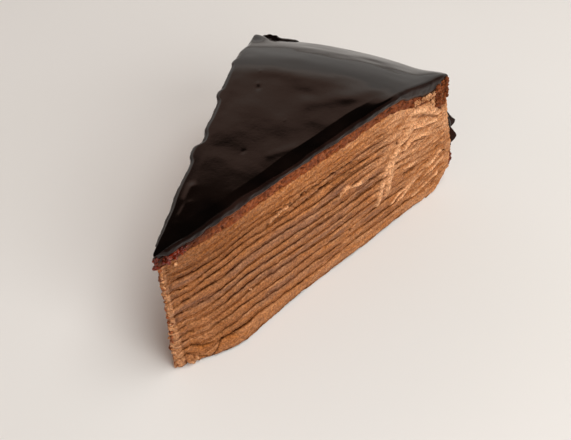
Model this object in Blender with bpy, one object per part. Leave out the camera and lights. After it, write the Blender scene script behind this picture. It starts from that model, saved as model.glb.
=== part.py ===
"""One slice of a chocolate mille crepe cake: a wedge of thin crepes and cream under a
cocoa sponge, coated in cream on its outer wall and poured over with a dark glaze.

Metres, +Z up, +Y from the point of the wedge to the outer wall.  Every layer is its own
closed solid that runs right through the slice, and they all share one outline and one
sagging height field, so they nest with an even clearance.
"""
import math

import bpy

# ---- the slice as a whole ----
HEIGHT = 0.0595             # plate to the top of the glaze, before the rim sags
WEDGE_ANGLE = 34.5          # degrees between the two cut faces
CAKE_RADIUS = 0.1194        # outer wall at its widest
CENTRE_X = 0.0200           # centre of the outer wall's curve, measured from the point;
CENTRE_Y = 0.0077           # the slice was cut a little off centre
WALL_LEAN = 0.0046          # the wall leans in by this much towards the top
WALL_TUCK = 0.0075          # and tucks in by this much at the plate
TUCK_TOP = 0.25             # height share where the tuck begins
CORNER_ROUND = 0.0030       # the two corners of the wall round in a little more
CORNER_SPAN = 0.12          # over this share of the wall
SAG_START = 0.0816          # radius from which the top begins to sag
SAG_DEPTH = 0.0103          # how far it has sagged at the wall
RIM_DROOP = 0.0037          # under the glaze the layers droop further at the rim,
DROOP_START = 0.0820        # beginning at this radius
DROOP_END = 0.1070          # and complete at this one
CORNER_LIFT = 0.0032        # the rim was pulled up at the right corner
LIFT_REACH = 0.0080
TIP_LENGTH = 0.0044         # the blunt point: length cut off each face
TIP_NOSE = 0.0009           # and how far its middle stands forward
TIP_OVERHANG = 0.0021       # glaze and sponge overhang the layers at the point
CUT_FLARE = 0.0064          # the cut faces spread by this much at the plate
FLARE_REACH = 0.0215        # distance from the point where the spread is complete

# ---- the layers ----
CLEARANCE = 0.0003          # between touching solids
SKIRT_CLEARANCE = 0.0005    # between the glaze on the wall and the cream coat
GLAZE_THICK = 0.0025
SPONGE_THICK = 0.0043
CREPE_THICK = 0.0010
COAT_THICK = 0.0033         # cream coat on the outer wall
WAVE_HEIGHT = 0.00035       # gentle unevenness of the layers
# middle of each crepe, as a share of the way down from the sponge to the plate
CREPE_PLACES = (0.088, 0.150, 0.205, 0.268, 0.330, 0.392, 0.475, 0.545, 0.606, 0.670, 0.742, 0.828, 0.895)

# ---- the glaze over the wall: place along the wall (0 right, 1 left), half width in the
# same measure, lower end as a share of the height, how thick the drip swells, and how far
# its lower end wanders sideways ----
SKIRT_END = 0.870
SKIRT_THICK = 0.0010
DRIPS = (
    (0.012, 0.028, 0.585, 0.0048, 0.000),
    (0.060, 0.028, 0.425, 0.0056, -0.043),
    (0.110, 0.028, 0.285, 0.0044, -0.075),
    (0.200, 0.042, 0.520, 0.0034, 0.010),
    (0.320, 0.050, 0.660, 0.0026, 0.000),
    (0.440, 0.046, 0.500, 0.0032, 0.012),
    (0.570, 0.054, 0.700, 0.0026, 0.000),
    (0.690, 0.046, 0.430, 0.0034, -0.010),
    (0.800, 0.040, 0.640, 0.0028, 0.000),
    (0.925, 0.044, 0.560, 0.0032, 0.008),
)
LEAN_ABOVE = 0.17           # a drip begins to wander this far above its lower end
LEAN_SPAN = 0.13
# a thick fold of glaze that slid over the rim beside the left corner
FOLD_PLACE = 0.960
FOLD_HALF_WIDTH = 0.190
FOLD_THICK = 0.0044
FOLD_RISE = 0.0016

# ---- how finely the surfaces are divided ----
ROW_PLACES = (0.0, 0.12, 0.30, 0.50, 0.66, 0.75, 0.83, 0.90, 0.955, 1.0)
LAYER_COLUMNS = (2, 3, 3, 4, 4, 5, 5, 6, 6, 7)
GLAZE_COLUMNS = (2, 3, 4, 5, 6, 7, 8, 13, 26, 52)
SKIRT_ROWS = 7
COLUMN_CROWDING = 1.3       # the glaze is divided more finely towards the right corner
COAT_COLUMNS = 20
COAT_LEVELS = (0.0, 0.03, 0.06, 0.09, 0.125, 0.16, 0.20, 0.25, 0.34, 0.44, 0.56, 0.68, 0.80, 0.90, 1.0)

HALF_ANGLE = math.radians(WEDGE_ANGLE / 2)
RIGHT_WAY = (math.sin(HALF_ANGLE), math.cos(HALF_ANGLE))
GLAZE_UNDER = 1.0 - GLAZE_THICK / HEIGHT
SPONGE_TOP = GLAZE_UNDER - CLEARANCE / HEIGHT
SPONGE_UNDER = SPONGE_TOP - SPONGE_THICK / HEIGHT


def ease(t):
    """Smooth step from 0 to 1."""
    t = min(max(t, 0.0), 1.0)
    return t * t * (3.0 - 2.0 * t)


def wall_radius(s):
    """Radius of the outer wall at height share s."""
    tuck = max(TUCK_TOP - s, 0.0) / TUCK_TOP
    return CAKE_RADIUS - WALL_LEAN * ease((s - 0.4) / 0.6) - WALL_TUCK * tuck ** 1.6


def corner_round(u, s):
    """How much further the wall rounds in near its two corners, at the plate."""
    tuck = max(TUCK_TOP - s, 0.0) / TUCK_TOP
    return CORNER_ROUND * tuck * tuck * (1.0 - ease(min(u, 1.0 - u) / CORNER_SPAN))


def flare(s):
    """How far each cut face stands out from its line at height share s."""
    return CUT_FLARE * (1.0 - s)


def wall_end(s, radius, side):
    """Where a cut face meets a wall of the given radius; side +1 right, -1 left."""
    way = (RIGHT_WAY[0] * side, RIGHT_WAY[1])
    out = (RIGHT_WAY[1] * side * flare(s), -RIGHT_WAY[0] * flare(s))
    q = (out[0] - CENTRE_X, out[1] - CENTRE_Y)
    along = way[0] * q[0] + way[1] * q[1]
    reach = -along + math.sqrt(along * along - (q[0] ** 2 + q[1] ** 2 - radius ** 2))
    return (reach * way[0] + out[0], reach * way[1] + out[1])


def wall_point(u, s, radius):
    """Plan position on a wall of the given radius, u 0 at the right face, 1 at the left."""
    right = wall_end(s, radius - corner_round(0.0, s), 1)
    left = wall_end(s, radius - corner_round(1.0, s), -1)
    start = math.atan2(right[1] - CENTRE_Y, right[0] - CENTRE_X)
    stop = math.atan2(left[1] - CENTRE_Y, left[0] - CENTRE_X)
    angle = start + (stop - start) * u
    reach = radius - corner_round(u, s)
    return (CENTRE_X + reach * math.cos(angle), CENTRE_Y + reach * math.sin(angle))


def nose_point(u, s):
    """Plan position on the blunt point of the wedge."""
    forward = TIP_NOSE + TIP_OVERHANG * ease((s - 0.850) / 0.030)
    x = (1.0 - 2.0 * u) * TIP_LENGTH * RIGHT_WAY[0]
    y = TIP_LENGTH * RIGHT_WAY[1] * ((1.0 - u) ** 2 + u ** 2) - 2.0 * u * (1.0 - u) * forward
    return (x, y)


def plan_point(u, v, s, radius):
    """Plan position inside the wedge: u across it, v from the point to the wall."""
    near = nose_point(u, s)
    far = wall_point(u, s, radius)
    reach = v * math.hypot(far[0], far[1])
    spread = flare(s) * (ease(reach / FLARE_REACH) - v)
    x = near[0] + (far[0] - near[0]) * v + spread * (1.0 - 2.0 * u) * RIGHT_WAY[1]
    y = near[1] + (far[1] - near[1]) * v - spread * RIGHT_WAY[0]
    return (x, y)


def height_at(x, y, s):
    """Height of share s of the stack over a plan position: sag at the rim, slight waves."""
    r = math.hypot(x - CENTRE_X, y - CENTRE_Y)
    t = (r - SAG_START) / (CAKE_RADIUS - WALL_LEAN - SAG_START)
    sag = SAG_DEPTH * min(max(t, 0.0), 1.3) ** 2
    corner = wall_end(1.0, wall_radius(1.0), 1)
    away = math.hypot(x - corner[0], y - corner[1]) / LIFT_REACH
    lift = CORNER_LIFT * math.exp(-away * away)
    # the layers droop below the glaze, which fills the difference and stays level on top
    droop = RIM_DROOP * ease((r - DROOP_START) / (DROOP_END - DROOP_START))
    share = s * min((1.0 - s) / (1.0 - SPONGE_TOP), 1.0)
    wave = math.sin(95.0 * y + 41.0 * x + 9.0 * s) + 0.6 * math.sin(210.0 * y - 120.0 * x + 23.0 * s)
    return s * (HEIGHT - sag + lift) - share * droop + WAVE_HEIGHT * 4.0 * s * (1.0 - s) * wave


class Solid:
    """Vertices and triangles of one closed solid."""

    def __init__(self):
        self.points = []
        self.faces = []

    def row(self, coords):
        first = len(self.points)
        self.points.extend(coords)
        return list(range(first, first + len(coords)))

    def zip_rows(self, a, b, flip=False):
        """Triangles between two rows of points that may differ in number."""
        i = 0
        j = 0
        while i < len(a) - 1 or j < len(b) - 1:
            step_a = (i + 1) / (len(a) - 1) if i < len(a) - 1 else 9.0
            step_b = (j + 1) / (len(b) - 1) if j < len(b) - 1 else 9.0
            if step_a <= step_b:
                face = (a[i], a[i + 1], b[j])
                i += 1
            else:
                face = (a[i], b[j + 1], b[j])
                j += 1
            self.faces.append(face[::-1] if flip else face)

    def sheet(self, rows, flip=False):
        for a, b in zip(rows, rows[1:]):
            self.zip_rows(a, b, flip)


def rim(rows):
    """The closed border of a sheet: first row, left ends, last row back, right ends."""
    left = [row[-1] for row in rows[1:]]
    back = rows[-1][-2::-1]
    right = [row[0] for row in rows[-2:0:-1]]
    return rows[0] + left + back + right + [rows[0][0]]


def close_between(solid, low, high):
    """Walls between the borders of two sheets that have the same division."""
    a = rim(low)
    b = rim(high)
    for i in range(len(a) - 1):
        solid.faces.append((a[i + 1], a[i], b[i]))
        solid.faces.append((a[i + 1], b[i], b[i + 1]))


def layer(s_low, s_high, inset):
    """A layer of the stack between two height shares, ending inset short of the wall."""
    solid = Solid()
    sheets = []
    for s in (s_low, s_high):
        rows = []
        for v, columns in zip(ROW_PLACES, LAYER_COLUMNS):
            coords = []
            for i in range(columns + 1):
                x, y = plan_point(i / columns, v, s, wall_radius(s) - inset)
                coords.append((x, y, height_at(x, y, s)))
            rows.append(solid.row(coords))
        sheets.append(rows)
    solid.sheet(sheets[0])
    solid.sheet(sheets[1], flip=True)
    close_between(solid, sheets[0], sheets[1])
    return solid


def coat():
    """The cream coat on the outer wall, from the plate to the top of the sponge."""
    solid = Solid()
    sheets = []
    for depth in (0.0, COAT_THICK):
        rows = []
        for level in COAT_LEVELS:
            s = level * SPONGE_TOP
            coords = []
            for i in range(COAT_COLUMNS + 1):
                x, y = wall_point(i / COAT_COLUMNS, s, wall_radius(s) - depth)
                coords.append((x, y, height_at(x, y, s)))
            rows.append(solid.row(coords))
        sheets.append(rows)
    solid.sheet(sheets[0])
    solid.sheet(sheets[1], flip=True)
    close_between(solid, sheets[0], sheets[1])
    return solid


def drip_at(u):
    """The drip nearest to place u and how far off its middle u is, 1 at its edge."""
    found = min(DRIPS, key=lambda drip: abs(u - drip[0]) / drip[1])
    return found, abs(u - found[0]) / found[1]


def skirt_end(u):
    """Height share where the glaze on the wall ends: a wavy hem with rounded drips."""
    end = SKIRT_END - 0.02 * math.sin(40.0 * u)
    drip, t = drip_at(u)
    if t < 1.0:
        low = drip[2]
        end = min(end, low + (SKIRT_END - low) * (1.0 - math.sqrt(1.0 - t ** 2.2)))
    return end


def skirt_place(u, s):
    """Place along the wall of column u at height share s, where the drips wander."""
    drip, t = drip_at(u)
    if t < 1.0:
        u += drip[4] * ease((drip[2] + LEAN_ABOVE - s) / LEAN_SPAN)
    return u


def fold_swell(u):
    """How fully the fold of glaze stands at place u, from 0 to 1."""
    return ease((1.0 - abs(u - FOLD_PLACE) / FOLD_HALF_WIDTH) / 0.8)


def skirt_thick(u, q):
    """Thickness of the glaze on the wall, q 0 at the shoulder and 1 at its lower end."""
    thick = SKIRT_THICK
    drip, t = drip_at(u)
    if t < 1.0:
        thick += (drip[3] - SKIRT_THICK) * (1.0 - t * t) * ease((q - 0.50) / 0.40)
    return max(thick, SKIRT_THICK + (FOLD_THICK - SKIRT_THICK) * fold_swell(u) * (1.0 - q) ** 2)


def glaze():
    """The poured glaze: the sagging top, the rounded shoulder and the drips below it."""
    solid = Solid()
    under = []
    over = []
    top_edge = wall_radius(SPONGE_TOP) + CLEARANCE
    for v, columns in zip(ROW_PLACES, GLAZE_COLUMNS):
        low = []
        high = []
        for i in range(columns + 1):
            u = (i / columns) ** COLUMN_CROWDING
            x, y = plan_point(u, v, GLAZE_UNDER, top_edge)
            low.append((x, y, height_at(x, y, GLAZE_UNDER)))
            rise = FOLD_RISE * fold_swell(u) * ease((v - 0.90) / 0.10)
            x, y = plan_point(u, v, 1.0, top_edge)
            high.append((x, y, height_at(x, y, 1.0) + rise))
        under.append(solid.row(low))
        over.append(solid.row(high))
    columns = GLAZE_COLUMNS[-1]
    for k in range(1, SKIRT_ROWS + 1):
        low = []
        high = []
        q = k / SKIRT_ROWS
        for i in range(columns + 1):
            u = (i / columns) ** COLUMN_CROWDING
            end = skirt_end(u)
            s = GLAZE_UNDER + (end - GLAZE_UNDER) * q
            place = skirt_place(u, s)
            x, y = wall_point(place, s, wall_radius(s))
            z_wall = height_at(x, y, s)
            x, y = wall_point(place, s, wall_radius(s) + SKIRT_CLEARANCE)
            low.append((x, y, z_wall))
            # the outer skin starts level with the top and rounds in at the lower end
            s = 1.0 + (end - 1.0) * (q - 0.10 * math.sin(math.pi * q))
            place = skirt_place(u, s)
            full = skirt_thick(u, q) * (1.0 if k < SKIRT_ROWS else 0.45)
            x, y = wall_point(place, s, wall_radius(s))
            z = height_at(x, y, s)
            if k == 1:
                z += FOLD_RISE * fold_swell(u) - GLAZE_THICK * 0.35
            x, y = wall_point(place, s, wall_radius(s) + SKIRT_CLEARANCE + full)
            high.append((x, y, max(z, z_wall)))
        under.append(solid.row(low))
        over.append(solid.row(high))
    solid.sheet(under)
    solid.sheet(over, flip=True)
    close_between(solid, under, over)
    return solid


def all_solids():
    """Every layer from the plate up, with its colour, roughness and smooth shading."""
    gap = CLEARANCE / HEIGHT
    crepe = CREPE_THICK / HEIGHT
    inset = COAT_THICK + CLEARANCE
    crepe_look = ((0.130, 0.045, 0.018), 0.75)
    cream_look = ((0.300, 0.135, 0.060), 0.60)
    found = []
    middles = [SPONGE_UNDER * (1.0 - place) for place in CREPE_PLACES] + [crepe / 2]
    ceiling = SPONGE_UNDER
    for number, middle in enumerate(middles, start=1):
        top = middle + crepe / 2
        found.append((f"cream_{number:02d}", layer(top + gap, ceiling - gap, inset), cream_look))
        found.append((f"crepe_{number:02d}", layer(max(middle - crepe / 2, 0.0), top, inset), crepe_look))
        ceiling = middle - crepe / 2
    found.append(("sponge", layer(SPONGE_UNDER, SPONGE_TOP, inset), ((0.200, 0.062, 0.024), 0.85)))
    found.append(("side_cream", coat(), cream_look))
    found.append(("glaze", glaze(), ((0.012, 0.007, 0.005), 0.18)))
    return found


def add_object(name, solid, look, shift):
    """Make the named object with its own material."""
    points = [(x - shift[0], y - shift[1], z) for x, y, z in solid.points]
    mesh = bpy.data.meshes.new(name)
    mesh.from_pydata(points, [], solid.faces)
    mesh.update()
    mesh.shade_smooth()
    mesh.set_sharp_from_angle(angle=math.radians(40))
    material = bpy.data.materials.new(name)
    material.use_nodes = True
    shader = material.node_tree.nodes["Principled BSDF"]
    shader.inputs["Base Color"].default_value = (*look[0], 1.0)
    shader.inputs["Roughness"].default_value = look[1]
    shader.inputs["Metallic"].default_value = 0.0
    mesh.materials.append(material)
    bpy.context.collection.objects.link(bpy.data.objects.new(name, mesh))


def main():
    for item in list(bpy.data.objects):
        bpy.data.objects.remove(item, do_unlink=True)
    solids = all_solids()
    xs = [p[0] for _, solid, _ in solids for p in solid.points]
    ys = [p[1] for _, solid, _ in solids for p in solid.points]
    shift = ((min(xs) + max(xs)) / 2, (min(ys) + max(ys)) / 2)
    for name, solid, look in solids:
        add_object(name, solid, look, shift)


main()
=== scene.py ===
"""Dressed model of one slice of chocolate mille crepe cake.

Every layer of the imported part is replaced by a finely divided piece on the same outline
and the same sagging height field.  The cut faces carry one shared relief, so drag marks,
smears, pits and torn edges run on from layer to layer.
"""

import math

import bpy
import numpy as np
from mathutils import Matrix, Vector


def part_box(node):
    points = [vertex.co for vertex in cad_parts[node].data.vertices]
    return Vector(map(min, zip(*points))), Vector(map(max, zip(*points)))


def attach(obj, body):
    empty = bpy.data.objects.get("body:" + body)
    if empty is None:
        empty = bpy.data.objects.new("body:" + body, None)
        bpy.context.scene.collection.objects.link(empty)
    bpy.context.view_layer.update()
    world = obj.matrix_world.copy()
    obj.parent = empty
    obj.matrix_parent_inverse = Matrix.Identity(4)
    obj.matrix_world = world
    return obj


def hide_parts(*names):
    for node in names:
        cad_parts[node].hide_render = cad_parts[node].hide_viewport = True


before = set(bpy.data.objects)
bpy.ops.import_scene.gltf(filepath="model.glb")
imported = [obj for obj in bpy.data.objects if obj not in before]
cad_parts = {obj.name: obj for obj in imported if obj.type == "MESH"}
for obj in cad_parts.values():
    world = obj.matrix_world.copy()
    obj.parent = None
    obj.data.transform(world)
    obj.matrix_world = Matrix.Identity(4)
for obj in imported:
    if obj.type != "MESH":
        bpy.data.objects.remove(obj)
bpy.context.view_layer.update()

MM = 0.001

# ---- the slice, in millimetres, as in the part's source ----
HEIGHT = 59.5
HALF_ANGLE = math.radians(34.5 / 2)
CAKE_RADIUS = 119.4
CENTRE_X = 20.0
CENTRE_Y = 7.7
WALL_LEAN = 4.6
WALL_TUCK = 7.5
TUCK_TOP = 0.25
CORNER_ROUND = 3.0
CORNER_SPAN = 0.12
SAG_START = 81.6
SAG_DEPTH = 10.3
RIM_DROOP = 3.7
DROOP_START = 82.0
DROOP_END = 107.0
CORNER_LIFT = 3.2
LIFT_REACH = 8.0
TIP_LENGTH = 4.4
TIP_NOSE = 0.9
TIP_OVERHANG = 2.1
CUT_FLARE = 6.4
FLARE_REACH = 21.5
GAP = 0.3
SKIRT_GAP = 0.5
GLAZE_THICK = 2.5
SPONGE_THICK = 4.3
CREPE_THICK = 1.0
COAT_THICK = 3.3
WAVE_HEIGHT = 0.35
CREPE_PLACES = (0.088, 0.150, 0.205, 0.268, 0.330, 0.392, 0.475, 0.545, 0.606, 0.670, 0.742, 0.828, 0.895)
SKIRT_END = 0.870
SKIRT_THICK = 1.0
# place, half width, lower end, thickness and sideways lean of each drip
DRIPS = (
    (0.012, 0.028, 0.562, 4.8, 0.000),
    (0.060, 0.028, 0.390, 5.6, -0.043),
    (0.110, 0.028, 0.285, 4.4, -0.075),
    (0.200, 0.042, 0.520, 3.4, 0.010),
    (0.320, 0.050, 0.660, 2.6, 0.000),
    (0.440, 0.046, 0.500, 3.2, 0.012),
    (0.570, 0.054, 0.700, 2.6, 0.000),
    (0.690, 0.046, 0.430, 3.4, -0.010),
    (0.800, 0.040, 0.640, 2.8, 0.000),
    (0.925, 0.044, 0.560, 3.2, 0.008),
)
LEAN_ABOVE = 0.17
LEAN_SPAN = 0.13
FOLD_THICK = 4.4
FOLD_RISE = 1.6

RIGHT_X = math.sin(HALF_ANGLE)
RIGHT_Y = math.cos(HALF_ANGLE)
GLAZE_UNDER = 1.0 - GLAZE_THICK / HEIGHT
SPONGE_TOP = GLAZE_UNDER - GAP / HEIGHT
SPONGE_UNDER = SPONGE_TOP - SPONGE_THICK / HEIGHT

# where the lines of the two cut faces meet, in the part's frame: the box of the solids
# is centred on the origin, and the glaze reaches furthest at the point
POINT_X = -2.1210
POINT_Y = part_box("glaze")[0].y / MM - 0.6010


# ---------------------------------------------------------------- shape of the slice
def ease(t):
    t = np.clip(t, 0.0, 1.0)
    return t * t * (3.0 - 2.0 * t)


def wall_radius(s):
    tuck = np.maximum(TUCK_TOP - s, 0.0) / TUCK_TOP
    return CAKE_RADIUS - WALL_LEAN * ease((s - 0.4) / 0.6) - WALL_TUCK * tuck ** 1.6


def corner_round(u, s):
    tuck = np.maximum(TUCK_TOP - s, 0.0) / TUCK_TOP
    return CORNER_ROUND * tuck * tuck * (1.0 - ease(np.minimum(u, 1.0 - u) / CORNER_SPAN))


def flare(s):
    return CUT_FLARE * (1.0 - s)


def wall_end(s, radius, side):
    way_x = RIGHT_X * side
    out_x = RIGHT_Y * side * flare(s)
    out_y = -RIGHT_X * flare(s)
    qx = out_x - CENTRE_X
    qy = out_y - CENTRE_Y
    along = way_x * qx + RIGHT_Y * qy
    reach = -along + np.sqrt(along * along - (qx * qx + qy * qy - radius * radius))
    return reach * way_x + out_x, reach * RIGHT_Y + out_y


def wall_point(u, s, radius):
    rx, ry = wall_end(s, radius - corner_round(0.0, s), 1)
    lx, ly = wall_end(s, radius - corner_round(1.0, s), -1)
    start = np.arctan2(ry - CENTRE_Y, rx - CENTRE_X)
    stop = np.arctan2(ly - CENTRE_Y, lx - CENTRE_X)
    angle = start + (stop - start) * u
    reach = radius - corner_round(u, s)
    return CENTRE_X + reach * np.cos(angle), CENTRE_Y + reach * np.sin(angle)


CORNER_X, CORNER_Y = (float(k) for k in wall_end(1.0, wall_radius(1.0), 1))
LEFT_X, LEFT_Y = (float(k) for k in wall_end(1.0, wall_radius(1.0), -1))


def nose_point(u, s):
    forward = TIP_NOSE + TIP_OVERHANG * ease((s - 0.850) / 0.030)
    x = (1.0 - 2.0 * u) * TIP_LENGTH * RIGHT_X
    y = TIP_LENGTH * RIGHT_Y * ((1.0 - u) ** 2 + u ** 2) - 2.0 * u * (1.0 - u) * forward
    return x, y


def plan_point(u, v, s, radius):
    nx, ny = nose_point(u, s)
    wx, wy = wall_point(u, s, radius)
    reach = v * np.hypot(wx, wy)
    spread = flare(s) * (ease(reach / FLARE_REACH) - v)
    x = nx + (wx - nx) * v + spread * (1.0 - 2.0 * u) * RIGHT_Y
    y = ny + (wy - ny) * v - spread * RIGHT_X
    return x, y


def height_at(x, y, s):
    r = np.hypot(x - CENTRE_X, y - CENTRE_Y)
    t = (r - SAG_START) / (CAKE_RADIUS - WALL_LEAN - SAG_START)
    sag = SAG_DEPTH * np.clip(t, 0.0, 1.3) ** 2
    away = np.hypot(x - CORNER_X, y - CORNER_Y) / LIFT_REACH
    lift = CORNER_LIFT * np.exp(-away * away)
    droop = RIM_DROOP * ease((r - DROOP_START) / (DROOP_END - DROOP_START))
    share = s * np.minimum((1.0 - s) / (1.0 - SPONGE_TOP), 1.0)
    wave = np.sin(0.095 * y + 0.041 * x + 9.0 * s) + 0.6 * np.sin(0.210 * y - 0.120 * x + 23.0 * s)
    return s * (HEIGHT - sag + lift) - share * droop + WAVE_HEIGHT * 4.0 * s * (1.0 - s) * wave


# ---------------------------------------------------------------- noise
def lattice(ix, iy, seed):
    """Repeatable value from -1 to 1 for each whole-number cell."""
    h = ix.astype(np.int64) * 374761393 + iy.astype(np.int64) * 668265263 + seed * 974634777
    h = h & 0xFFFFFFFF
    h = ((h ^ (h >> 13)) * 1274126177) & 0xFFFFFFFF
    h = ((h ^ (h >> 15)) * 2246822519) & 0xFFFFFFFF
    h = h ^ (h >> 16)
    return h / 2147483648.0 - 1.0


def noise(x, y, seed):
    """Smooth noise from about -1 to 1."""
    x, y = np.broadcast_arrays(np.asarray(x, float), np.asarray(y, float))
    ix = np.floor(x)
    iy = np.floor(y)
    fx = ease(x - ix)
    fy = ease(y - iy)
    a = lattice(ix, iy, seed)
    b = lattice(ix + 1, iy, seed)
    c = lattice(ix, iy + 1, seed)
    d = lattice(ix + 1, iy + 1, seed)
    low = a + (b - a) * fx
    high = c + (d - c) * fx
    return low + (high - low) * fy


def layered_noise(x, y, seed, octaves=3):
    total = 0.0
    size = 1.0
    for k in range(octaves):
        total = total + size * noise(x * 2.03 ** k + 7.1 * k, y * 2.03 ** k - 3.7 * k, seed + k)
        size *= 0.5
    return total / 1.75


# ---------------------------------------------------------------- relief of the cut faces
# c is the distance round the surface from the point, positive on the right face and
# negative on the left, and z the height, both in millimetres
# soft ridges of dragged cream: points, half width, height
SMEARS = (
    (((108.9, 42.6), (107.4, 39.1), (103.1, 37.8), (99.9, 35.3), (97.3, 31.1), (95.9, 24.1), (95.0, 17.4)), 1.3, 0.65),
    (((97.3, 33.4), (94.2, 29.0), (92.3, 22.7), (90.7, 15.4)), 1.0, 0.45),
    (((103.7, 33.8), (107.0, 34.9), (112.0, 34.1), (119.0, 31.2)), 0.55, 0.60),
    (((104.7, 37.7), (109.6, 39.1), (115.3, 37.4), (122.2, 35.2)), 0.60, 0.45),
    (((104.0, 24.3), (107.3, 23.6), (111.3, 22.9)), 0.35, 0.40),
    (((117.4, 16.2), (122.0, 17.6), (125.5, 19.2)), 0.50, 0.40),
    (((116.4, 12.9), (123.4, 14.4), (127.0, 15.4)), 0.55, 0.40),
    (((101.7, 9.8), (106.1, 12.3), (110.0, 14.7)), 0.60, 0.40),
    (((97.3, 10.9), (102.1, 13.5), (108.3, 13.8)), 0.45, 0.35),
    (((109.7, 6.8), (116.6, 8.3), (123.7, 9.7)), 0.60, 0.35),
    (((120.3, 47.9), (118.8, 44.6), (117.9, 41.2)), 0.50, 0.80),
    (((110.2, 49.0), (114.5, 48.8), (119.1, 48.6)), 0.80, 0.60),
    (((108.2, 46.4), (115.5, 43.0), (123.1, 38.2)), 1.10, 0.35),
    (((70.5, 32.7), (74.4, 34.7), (81.6, 32.1)), 0.60, 0.45),
    (((41.5, 42.6), (46.0, 43.9), (50.5, 44.2)), 0.45, 0.40),
)
# pits, slits and gaps: two ends, half width, depth
CUTS = (
    ((76.2, 13.6), (76.4, 13.2), 0.50, 1.0),
    ((85.6, 30.9), (89.6, 29.4), 0.34, 0.9),
    ((99.7, 38.7), (100.2, 38.0), 0.40, 0.7),
    ((104.1, 21.2), (110.3, 20.7), 0.60, 0.9),
    ((106.5, 32.4), (110.4, 32.7), 0.42, 0.8),
    ((110.4, 32.7), (116.2, 30.6), 0.26, 0.5),
    ((122.4, 21.6), (125.3, 22.7), 0.36, 0.7),
    ((124.0, 40.6), (124.3, 39.6), 0.70, 1.3),
    ((118.7, 46.6), (118.7, 45.8), 0.45, 0.9),
    ((121.8, 47.6), (122.2, 46.8), 0.70, 1.1),
    ((103.3, 28.6), (110.0, 28.9), 0.26, 0.4),
    ((111.5, 18.6), (118.4, 18.9), 0.26, 0.4),
    ((120.3, 5.3), (124.3, 8.2), 0.30, 0.5),
    ((16.8, 6.2), (14.9, 3.0), 0.26, 0.8),
    ((14.9, 3.0), (13.2, 0.8), 0.26, 0.8),
    ((16.9, 6.7), (21.8, 6.1), 0.32, 0.8),
    ((4.6, 16.0), (8.5, 13.8), 0.32, 0.9),
    ((7.4, 7.4), (10.8, 6.1), 0.34, 0.8),
    ((10.8, 6.1), (14.2, 6.5), 0.26, 0.6),
    ((7.1, 2.6), (11.1, 1.4), 0.26, 0.6),
)
LEFT_SHIFT = 9.0            # the left face carries the same kinds of mark further along


def distance_to(c, z, a, b):
    """Distance of points (c, z) from the stretch a to b."""
    dx = b[0] - a[0]
    dz = b[1] - a[1]
    t = np.clip(((c - a[0]) * dx + (z - a[1]) * dz) / (dx * dx + dz * dz), 0.0, 1.0)
    return np.hypot(c - a[0] - t * dx, z - a[1] - t * dz)


def marks(c, z):
    """Height of the smears, depth of the cuts and their two masks; the cut mask is painted shade in the pits, slits
    and gaps and painted shadow just below each smear.
    """
    place = np.where(c >= 0, c, -c - LEFT_SHIFT)
    ridge = np.zeros(np.broadcast(c, z).shape)
    ridge_mask = np.zeros_like(ridge)
    cut = np.zeros_like(ridge)
    cut_shade_mask = np.zeros_like(ridge)
    shade = np.zeros_like(ridge)
    ragged = 1.0 + 0.55 * layered_noise(c / 1.6, z / 1.3, 11)
    worn = np.clip(0.9 + 0.6 * noise(c / 3.0, z / 3.0, 13), 0.3, 1.2)
    for points, half, high in SMEARS:
        for a, b in zip(points, points[1:]):
            d = distance_to(place, z, a, b) / (half * ragged)
            ridge = np.maximum(ridge, 1.3 * high * np.exp(-d ** 2) * worn)
            ridge_mask = np.maximum(ridge_mask, np.exp(-(d / 1.15) ** 4) * worn)
            # painted shadow: a dark band just below each smear, which is also dented in a little
            d = distance_to(place, z + 1.9 * half, a, b) / (0.6 * half * ragged)
            shade = np.maximum(shade, np.exp(-d ** 4) * worn)
    # painted shade: each pit, slit and gap is darkened through the cut shade mask
    for a, b, half, deep in CUTS:
        d = distance_to(place, z, a, b) / (half * ragged)
        cut = np.maximum(cut, deep * np.exp(-d ** 4))
        cut_shade_mask = np.maximum(cut_shade_mask, np.exp(-(d / 1.05) ** 4))
    shade = shade * (1.0 - np.clip(ridge_mask, 0.0, 1.0))
    return ridge - 0.35 * shade, ridge_mask, cut, np.maximum(cut_shade_mask, 0.50 * shade)


def smear_zone(c, z):
    """1 where cream was dragged over the cut edges, 0 where the layers show sharply."""
    a = np.abs(c)
    wander = 5.0 * noise(z / 7.0, 0 * c, 23)
    zone = ease((a - 90.0 - wander - 0.30 * (30.0 - z)) / 14.0)
    kept = 0.55 * ease((layered_noise(c / 7.0, z / 2.2, 25) - 0.10) / 0.35)
    high_band = ease((z - 44.0) / 5.0) * 0.55
    patch = 0.75 * ease((layered_noise(c / 13.0, z / 5.0, 21) - 0.12) / 0.35) * ease((a - 30.0) / 25.0)
    return np.clip(zone * (1.0 - kept) + high_band + patch, 0.0, 1.0)


def torn_zone(c, z):
    """1 along the ragged tear that follows the upper layers, 0 away from it."""
    a = np.abs(c)
    line = 44.6 - 0.0022 * np.maximum(a - 50.0, 0.0) ** 2
    along = ease((a - 34.0) / 8.0) * ease((92.0 - a) / 20.0)
    return along * (np.exp(-((z - line) / 1.1) ** 2) + 0.8 * np.exp(-((z - line + 2.6) / 0.9) ** 2))


def torn_pits(c, z):
    """Depth share of the little ragged pits of the tear."""
    return torn_zone(c, z) * ease((layered_noise(c / 1.9, z / 0.8, 171) - 0.02) / 0.30)


def strokes(c, z):
    """Fine striations left by the knife, steeper than the layers."""
    rise = z - 0.30 * np.abs(c)
    return layered_noise((c + 2.0 * z) / 13.0, rise / 0.85, 160) + 0.45 * noise((c + 2.0 * z) / 7.0, rise / 0.36, 163)


def threads(c, z):
    """Fine ragged threads that run along the layers."""
    slope = z + 0.03 * np.abs(c) + 0.5 * noise(c / 9.0, z / 9.0, 61)
    return 0.6 * noise(c / 3.2, slope / 0.50, 62) + 0.6 * noise(c / 6.5, slope / 0.85, 63)


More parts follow.
